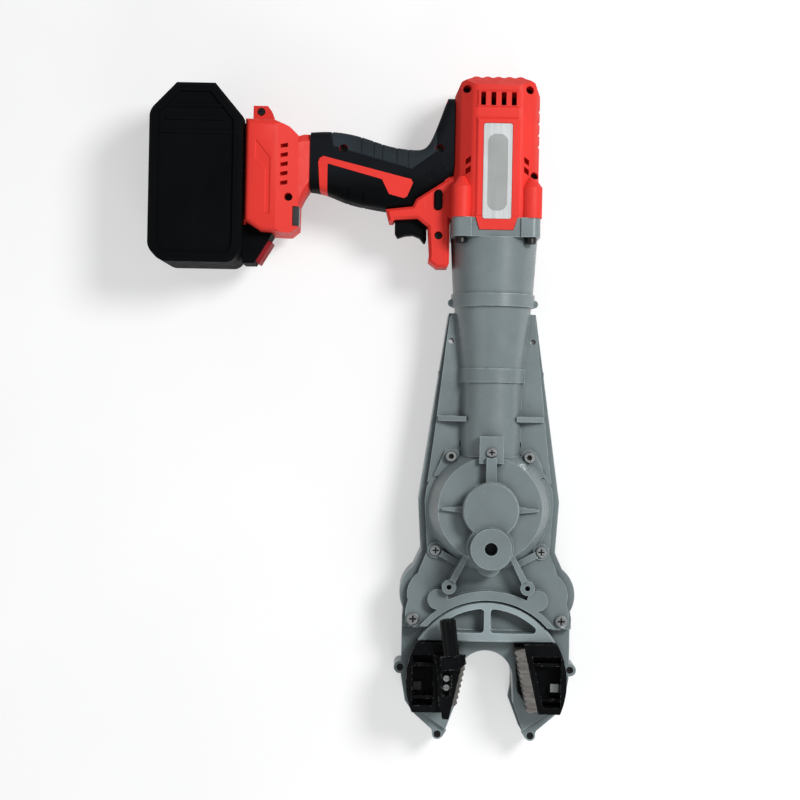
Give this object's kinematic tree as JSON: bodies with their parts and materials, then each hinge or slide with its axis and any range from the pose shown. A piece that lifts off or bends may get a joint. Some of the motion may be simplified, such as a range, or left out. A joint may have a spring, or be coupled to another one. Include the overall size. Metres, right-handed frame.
{
  "type": "electric rebar coupler wrench",
  "caption": "Cordless rebar coupler wrench: open split-ring head with serrated jaws, turned through spur, bevel and planetary gears by a motor; pistol grip, trigger and slide-on battery.",
  "frame": {"origin": "on the axis of the turning head, at the back face the tool lies on", "axes": "+Y along the tool from the jaws to the motor, +Z out of the front cover, +X away from the handle"},
  "size_m": [0.3454, 0.5286, 0.092],
  "materials": {
    "grey_casting": "grey paint on a casting",
    "red_plastic": "moulded, slightly glossy",
    "grip_rubber": "soft overmould",
    "black_plastic": "moulded, fine grain",
    "button_red": "moulded",
    "label_silver": "brushed plate, bare",
    "lens_clear": "clear",
    "black_steel": "blackened",
    "gear_steel": "machined",
    "bearing_steel": "ground",
    "screw_steel": "blackened and worn",
    "iron_core": "stacked sheets",
    "copper_wire": "enamelled wire",
    "fan_plastic": "moulded",
    "cell_wrap": "shrink wrap"
  },
  "bodies": {
    "tool_body": {"arm_guard_left": "grey_casting", "arm_guard_right": "grey_casting", "bevel_bearing_front": "bearing_steel", "bevel_bearing_rear": "bearing_steel", "cap_screws": "screw_steel", "casing_front": "red_plastic", "casing_rear": "red_plastic", "casing_screws": "screw_steel", "cover_cross_screws": "screw_steel", "front_cover": "grey_casting", "gear_case": "grey_casting", "gear_pins": "gear_steel", "gear_tube": "grey_casting", "grip_front": "grip_rubber", "grip_rear": "grip_rubber", "guard_screws": "screw_steel", "label_plate": "label_silver", "light_lens": "lens_clear", "motor_bearings": "bearing_steel", "motor_front_plate": "black_plastic", "motor_stator": "iron_core", "motor_windings": "copper_wire", "output_bearings": "bearing_steel", "planet_ring_gear": "gear_steel", "switch_module": "black_plastic", "terminal_block": "black_plastic"},
    "turning_head": {"ring_rotor": "gear_steel", "rotor_crown": "grey_casting", "jaw_holder_left": "black_steel", "jaw_holder_right": "black_steel", "jaw_insert_right": "gear_steel", "jaw_screws": "screw_steel"},
    "left_jaw": {"jaw_slider_left": "black_steel", "jaw_insert_left": "gear_steel", "jaw_lever": "black_steel"},
    "idler_left": {"ring_idler_left": "gear_steel"},
    "idler_right": {"ring_idler_right": "gear_steel"},
    "middle_left": {"middle_gear_left": "gear_steel"},
    "middle_right": {"middle_gear_right": "gear_steel"},
    "bevel_drive": {"drive_gear": "gear_steel", "bevel_shaft": "gear_steel", "bevel_gear": "gear_steel"},
    "output": {"output_shaft": "gear_steel", "bevel_pinion": "gear_steel"},
    "second_planet_a": {"planet_two_a": "gear_steel"},
    "second_planet_b": {"planet_two_b": "gear_steel"},
    "second_planet_c": {"planet_two_c": "gear_steel"},
    "first_carrier": {"carrier_one": "gear_steel"},
    "first_planet_a": {"planet_one_a": "gear_steel"},
    "first_planet_b": {"planet_one_b": "gear_steel"},
    "first_planet_c": {"planet_one_c": "gear_steel"},
    "motor_rotor": {"motor_shaft": "gear_steel", "rotor_core": "iron_core", "cooling_fan": "fan_plastic"},
    "trigger_body": {"trigger": "black_plastic"},
    "direction_body": {"direction_switch": "button_red"},
    "battery": {"battery_case": "black_plastic", "battery_cover": "black_plastic", "battery_cells": "cell_wrap"},
    "release_button": {"battery_release_button": "button_red"}
  },
  "joints": [
    {"name": "head_spin", "type": "hinge", "parent": "tool_body", "child": "turning_head", "pos_m": [0, 0, 0], "axis": [0, 0, 1], "continuous": true},
    {"name": "idler_left_spin", "type": "hinge", "parent": "tool_body", "child": "idler_left", "pos_m": [-0.04743, 0.05148, 0], "axis": [0, 0, 1], "continuous": true},
    {"name": "idler_right_spin", "type": "hinge", "parent": "tool_body", "child": "idler_right", "pos_m": [0.04743, 0.05148, 0], "axis": [0, 0, 1], "continuous": true},
    {"name": "middle_left_spin", "type": "hinge", "parent": "tool_body", "child": "middle_left", "pos_m": [-0.02938, 0.0779, 0], "axis": [0, 0, 1], "continuous": true},
    {"name": "middle_right_spin", "type": "hinge", "parent": "tool_body", "child": "middle_right", "pos_m": [0.02938, 0.0779, 0], "axis": [0, 0, 1], "continuous": true},
    {"name": "bevel_drive_spin", "type": "hinge", "parent": "tool_body", "child": "bevel_drive", "pos_m": [0, 0.137, 0], "axis": [0, 0, 1], "continuous": true},
    {"name": "output_spin", "type": "hinge", "parent": "tool_body", "child": "output", "pos_m": [0, 0.33, 0.04], "axis": [0, 1, 0], "continuous": true},
    {"name": "first_carrier_spin", "type": "hinge", "parent": "tool_body", "child": "first_carrier", "pos_m": [0, 0.33, 0.04], "axis": [0, 1, 0], "continuous": true},
    {"name": "motor_spin", "type": "hinge", "parent": "tool_body", "child": "motor_rotor", "pos_m": [0, 0.33, 0.04], "axis": [0, 1, 0], "continuous": true},
    {"name": "second_planet_a_spin", "type": "hinge", "parent": "output", "child": "second_planet_a", "pos_m": [0, 0.33, 0.0235], "axis": [0, 1, 0], "continuous": true},
    {"name": "first_planet_a_spin", "type": "hinge", "parent": "first_carrier", "child": "first_planet_a", "pos_m": [0, 0.33, 0.0235], "axis": [0, 1, 0], "continuous": true},
    {"name": "second_planet_b_spin", "type": "hinge", "parent": "output", "child": "second_planet_b", "pos_m": [-0.01429, 0.33, 0.04825], "axis": [0, 1, 0], "continuous": true},
    {"name": "first_planet_b_spin", "type": "hinge", "parent": "first_carrier", "child": "first_planet_b", "pos_m": [-0.01429, 0.33, 0.04825], "axis": [0, 1, 0], "continuous": true},
    {"name": "second_planet_c_spin", "type": "hinge", "parent": "output", "child": "second_planet_c", "pos_m": [0.01429, 0.33, 0.04825], "axis": [0, 1, 0], "continuous": true},
    {"name": "first_planet_c_spin", "type": "hinge", "parent": "first_carrier", "child": "first_planet_c", "pos_m": [0.01429, 0.33, 0.04825], "axis": [0, 1, 0], "continuous": true},
    {"name": "left_jaw_slide", "type": "slide", "parent": "turning_head", "child": "left_jaw", "axis": [0, 1, 0], "range_m": [-0.0036, 0.0036]},
    {"name": "trigger_pull", "type": "slide", "parent": "tool_body", "child": "trigger_body", "axis": [0, 1, 0], "range_m": [0, 0.006], "stiffness_N_per_m": 600},
    {"name": "direction_push", "type": "slide", "parent": "tool_body", "child": "direction_body", "axis": [0, 0, 1], "range_m": [-0.002, 0.002]},
    {"name": "battery_slide", "type": "slide", "parent": "tool_body", "child": "battery", "axis": [0, -1, 0], "range_m": [0, 0.11]},
    {"name": "release_press", "type": "slide", "parent": "battery", "child": "release_button", "axis": [-0.8567, 0.5159, 0], "range_m": [0, 0.0025], "stiffness_N_per_m": 500}
  ],
  "couplings": [
    {"joint": "idler_left_spin", "follows": "head_spin", "ratio": -4},
    {"joint": "idler_right_spin", "follows": "head_spin", "ratio": -4},
    {"joint": "middle_left_spin", "follows": "head_spin", "ratio": 3.1111},
    {"joint": "middle_right_spin", "follows": "head_spin", "ratio": 3.1111},
    {"joint": "bevel_drive_spin", "follows": "head_spin", "ratio": -1.1667},
    {"joint": "output_spin", "follows": "head_spin", "ratio": 2.9167},
    {"joint": "first_carrier_spin", "follows": "head_spin", "ratio": 14.583},
    {"joint": "motor_spin", "follows": "head_spin", "ratio": 72.917},
    {"joint": "second_planet_a_spin", "follows": "head_spin", "ratio": -7.7778},
    {"joint": "first_planet_a_spin", "follows": "head_spin", "ratio": -38.889},
    {"joint": "second_planet_b_spin", "follows": "head_spin", "ratio": -7.7778},
    {"joint": "first_planet_b_spin", "follows": "head_spin", "ratio": -38.889},
    {"joint": "second_planet_c_spin", "follows": "head_spin", "ratio": -7.7778},
    {"joint": "first_planet_c_spin", "follows": "head_spin", "ratio": -38.889}
  ]
}
